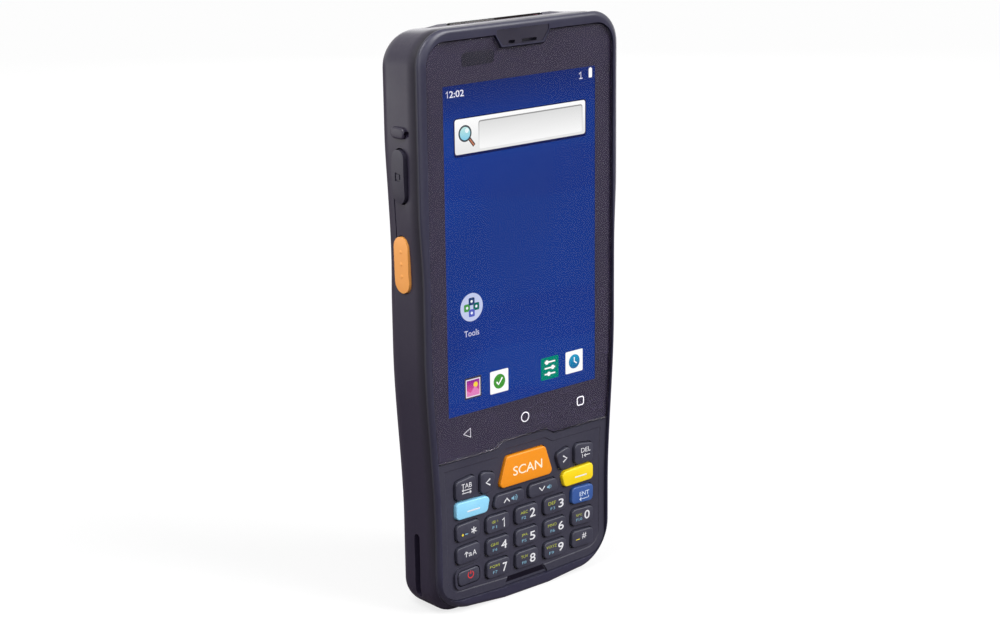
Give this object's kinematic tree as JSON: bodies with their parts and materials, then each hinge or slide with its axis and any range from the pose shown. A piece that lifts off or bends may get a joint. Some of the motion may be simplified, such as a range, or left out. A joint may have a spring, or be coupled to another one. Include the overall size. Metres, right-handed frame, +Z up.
{
  "type": "barcode data terminal",
  "caption": "Handheld data terminal with a touch screen above a keypad, scan triggers on its sides, a scan window in its top edge and a battery door in its back.",
  "frame": {"origin": "middle of the base that the terminal stands on, in the plane of its two sides' middle", "axes": "+Z up along the length towards the top, +X to the right as the screen is looked at, screen and keypad face -Y, battery door faces +Y"},
  "size_m": [0.0687, 0.0188, 0.1558],
  "materials": {
    "shell": "fine-textured charcoal moulding with a satin sheen",
    "trim_black": "plain black moulding",
    "key_grey": "soft matt key caps",
    "orange": "satin orange moulding",
    "key_light_blue": "soft matt key cap",
    "key_yellow": "soft matt key cap",
    "key_dark_blue": "soft matt key cap",
    "cover_glass": "clear cover glass",
    "scan_glass": "dark red-black filter glass",
    "display": "lit colour display",
    "reflector": "white moulded frame",
    "seal_rubber": "black foam and rubber",
    "keypad_rubber": "milky silicone sheet",
    "circuit_board": "green lacquered board",
    "sheet_metal": "pressed and stamped metal",
    "screw_steel": "small plated screws",
    "contact_gold": "gold-plated contacts"
  },
  "bodies": {
    "body": {"rear_housing": "shell", "front_frame": "shell", "keypad_fascia": "shell", "earpiece_trim": "trim_black", "window_mask": "trim_black", "loudspeaker": "trim_black", "earpiece": "trim_black", "light_sensor": "trim_black", "scan_engine": "trim_black", "battery_pack": "trim_black", "touch_glass": "cover_glass", "scan_window": "scan_glass", "lcd_panel": "display", "backlight": "reflector", "glass_tape": "seal_rubber", "housing_seal": "seal_rubber", "keypad_mat": "keypad_rubber", "keypad_board": "circuit_board", "main_board": "circuit_board", "switch_strips": "circuit_board", "chassis": "sheet_metal", "key_domes": "sheet_metal", "board_shields": "sheet_metal", "side_switches": "sheet_metal", "data_socket": "sheet_metal", "vibration_motor": "sheet_metal", "chassis_screws": "screw_steel", "housing_screws": "screw_steel", "battery_contacts": "contact_gold", "dock_contacts": "contact_gold"},
    "battery_door": {"battery_door": "shell"},
    "side_key": {"side_key": "trim_black"},
    "trigger_left": {"trigger_left": "orange"},
    "trigger_right": {"trigger_right": "orange"},
    "key_tab": {"key_tab": "key_grey"},
    "key_left": {"key_left": "key_grey"},
    "key_scan": {"key_scan": "orange"},
    "key_right": {"key_right": "key_grey"},
    "key_delete": {"key_delete": "key_grey"},
    "key_shift_blue": {"key_shift_blue": "key_light_blue"},
    "key_up": {"key_up": "key_grey"},
    "key_down": {"key_down": "key_grey"},
    "key_shift_yellow": {"key_shift_yellow": "key_yellow"},
    "key_star": {"key_star": "key_grey"},
    "key_1": {"key_1": "key_grey"},
    "key_2": {"key_2": "key_grey"},
    "key_3": {"key_3": "key_grey"},
    "key_enter": {"key_enter": "key_dark_blue"},
    "key_caps": {"key_caps": "key_grey"},
    "key_4": {"key_4": "key_grey"},
    "key_5": {"key_5": "key_grey"},
    "key_6": {"key_6": "key_grey"},
    "key_0": {"key_0": "key_grey"},
    "key_power": {"key_power": "key_grey"},
    "key_7": {"key_7": "key_grey"},
    "key_8": {"key_8": "key_grey"},
    "key_9": {"key_9": "key_grey"},
    "key_hash": {"key_hash": "key_grey"}
  },
  "joints": [
    {"name": "battery_door_hinge", "type": "hinge", "parent": "body", "child": "battery_door", "pos_m": [0, 0.0094, 0.0267], "axis": [-1, 0, 0], "range_deg": [0, 70]},
    {"name": "side_key_press", "type": "slide", "parent": "body", "child": "side_key", "axis": [1, 0, 0], "range_m": [0, 0.0005], "stiffness_N_per_m": 2000},
    {"name": "trigger_left_press", "type": "slide", "parent": "body", "child": "trigger_left", "axis": [1, 0, 0], "range_m": [0, 0.0006], "stiffness_N_per_m": 2000},
    {"name": "trigger_right_press", "type": "slide", "parent": "body", "child": "trigger_right", "axis": [-1, 0, 0], "range_m": [0, 0.0006], "stiffness_N_per_m": 2000},
    {"name": "key_tab_press", "type": "slide", "parent": "body", "child": "key_tab", "axis": [0, 1, 0], "range_m": [0, 0.00045], "stiffness_N_per_m": 1200},
    {"name": "key_left_press", "type": "slide", "parent": "body", "child": "key_left", "axis": [0, 1, 0], "range_m": [0, 0.00045], "stiffness_N_per_m": 1200},
    {"name": "key_scan_press", "type": "slide", "parent": "body", "child": "key_scan", "axis": [0, 1, 0], "range_m": [0, 0.00045], "stiffness_N_per_m": 1200},
    {"name": "key_right_press", "type": "slide", "parent": "body", "child": "key_right", "axis": [0, 1, 0], "range_m": [0, 0.00045], "stiffness_N_per_m": 1200},
    {"name": "key_delete_press", "type": "slide", "parent": "body", "child": "key_delete", "axis": [0, 1, 0], "range_m": [0, 0.00045], "stiffness_N_per_m": 1200},
    {"name": "key_shift_blue_press", "type": "slide", "parent": "body", "child": "key_shift_blue", "axis": [0, 1, 0], "range_m": [0, 0.00045], "stiffness_N_per_m": 1200},
    {"name": "key_up_press", "type": "slide", "parent": "body", "child": "key_up", "axis": [0, 1, 0], "range_m": [0, 0.00045], "stiffness_N_per_m": 1200},
    {"name": "key_down_press", "type": "slide", "parent": "body", "child": "key_down", "axis": [0, 1, 0], "range_m": [0, 0.00045], "stiffness_N_per_m": 1200},
    {"name": "key_shift_yellow_press", "type": "slide", "parent": "body", "child": "key_shift_yellow", "axis": [0, 1, 0], "range_m": [0, 0.00045], "stiffness_N_per_m": 1200},
    {"name": "key_star_press", "type": "slide", "parent": "body", "child": "key_star", "axis": [0, 1, 0], "range_m": [0, 0.00045], "stiffness_N_per_m": 1200},
    {"name": "key_1_press", "type": "slide", "parent": "body", "child": "key_1", "axis": [0, 1, 0], "range_m": [0, 0.00045], "stiffness_N_per_m": 1200},
    {"name": "key_2_press", "type": "slide", "parent": "body", "child": "key_2", "axis": [0, 1, 0], "range_m": [0, 0.00045], "stiffness_N_per_m": 1200},
    {"name": "key_3_press", "type": "slide", "parent": "body", "child": "key_3", "axis": [0, 1, 0], "range_m": [0, 0.00045], "stiffness_N_per_m": 1200},
    {"name": "key_enter_press", "type": "slide", "parent": "body", "child": "key_enter", "axis": [0, 1, 0], "range_m": [0, 0.00045], "stiffness_N_per_m": 1200},
    {"name": "key_caps_press", "type": "slide", "parent": "body", "child": "key_caps", "axis": [0, 1, 0], "range_m": [0, 0.00045], "stiffness_N_per_m": 1200},
    {"name": "key_4_press", "type": "slide", "parent": "body", "child": "key_4", "axis": [0, 1, 0], "range_m": [0, 0.00045], "stiffness_N_per_m": 1200},
    {"name": "key_5_press", "type": "slide", "parent": "body", "child": "key_5", "axis": [0, 1, 0], "range_m": [0, 0.00045], "stiffness_N_per_m": 1200},
    {"name": "key_6_press", "type": "slide", "parent": "body", "child": "key_6", "axis": [0, 1, 0], "range_m": [0, 0.00045], "stiffness_N_per_m": 1200},
    {"name": "key_0_press", "type": "slide", "parent": "body", "child": "key_0", "axis": [0, 1, 0], "range_m": [0, 0.00045], "stiffness_N_per_m": 1200},
    {"name": "key_power_press", "type": "slide", "parent": "body", "child": "key_power", "axis": [0, 1, 0], "range_m": [0, 0.00045], "stiffness_N_per_m": 1200},
    {"name": "key_7_press", "type": "slide", "parent": "body", "child": "key_7", "axis": [0, 1, 0], "range_m": [0, 0.00045], "stiffness_N_per_m": 1200},
    {"name": "key_8_press", "type": "slide", "parent": "body", "child": "key_8", "axis": [0, 1, 0], "range_m": [0, 0.00045], "stiffness_N_per_m": 1200},
    {"name": "key_9_press", "type": "slide", "parent": "body", "child": "key_9", "axis": [0, 1, 0], "range_m": [0, 0.00045], "stiffness_N_per_m": 1200},
    {"name": "key_hash_press", "type": "slide", "parent": "body", "child": "key_hash", "axis": [0, 1, 0], "range_m": [0, 0.00045], "stiffness_N_per_m": 1200}
  ]
}
